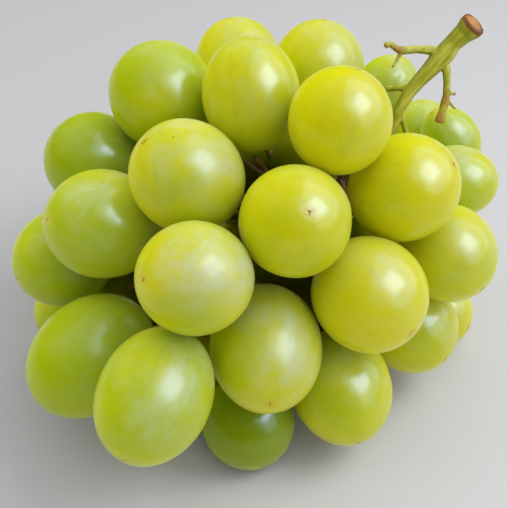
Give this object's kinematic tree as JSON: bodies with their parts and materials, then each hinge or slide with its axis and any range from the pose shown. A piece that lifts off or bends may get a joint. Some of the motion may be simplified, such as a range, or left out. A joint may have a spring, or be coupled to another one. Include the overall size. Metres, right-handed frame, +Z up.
{
  "type": "bunch of grapes",
  "caption": "Bunch of large, round to oval, yellow-green table grapes on a branching stalk with a flared cut end, lying as it would on a table.",
  "frame": {"origin": "on the table, under the middle of the bunch's bounding box", "axes": "+Z up from the table; the front of the bunch, with the grapes laid over the slope, faces -Y and the cut end of the main stalk points up to +X and +Y"},
  "size_m": [0.1208, 0.1258, 0.0916],
  "materials": {
    "grape_skin": "waxy satin",
    "stalk_bark": "matt"
  },
  "bodies": {
    "root": {"grape_01": "grape_skin", "grape_02": "grape_skin", "grape_03": "grape_skin", "grape_04": "grape_skin", "grape_05": "grape_skin", "grape_06": "grape_skin", "grape_07": "grape_skin", "grape_08": "grape_skin", "grape_09": "grape_skin", "grape_10": "grape_skin", "grape_11": "grape_skin", "grape_12": "grape_skin", "grape_13": "grape_skin", "grape_14": "grape_skin", "grape_15": "grape_skin", "grape_16": "grape_skin", "grape_17": "grape_skin", "grape_18": "grape_skin", "grape_19": "grape_skin", "grape_20": "grape_skin", "grape_21": "grape_skin", "grape_22": "grape_skin", "grape_23": "grape_skin", "grape_24": "grape_skin", "grape_25": "grape_skin", "grape_26": "grape_skin", "grape_27": "grape_skin", "grape_28": "grape_skin", "grape_29": "grape_skin", "grape_30": "grape_skin", "grape_31": "grape_skin", "grape_32": "grape_skin", "grape_33": "grape_skin", "grape_34": "grape_skin", "grape_35": "grape_skin", "grape_36": "grape_skin", "grape_37": "grape_skin", "grape_38": "grape_skin", "grape_39": "grape_skin", "grape_40": "grape_skin", "grape_41": "grape_skin", "grape_42": "grape_skin", "grape_43": "grape_skin", "grape_44": "grape_skin", "grape_45": "grape_skin", "grape_46": "grape_skin", "grape_47": "grape_skin", "grape_48": "grape_skin", "stalk": "stalk_bark"}
  },
  "joints": []
}
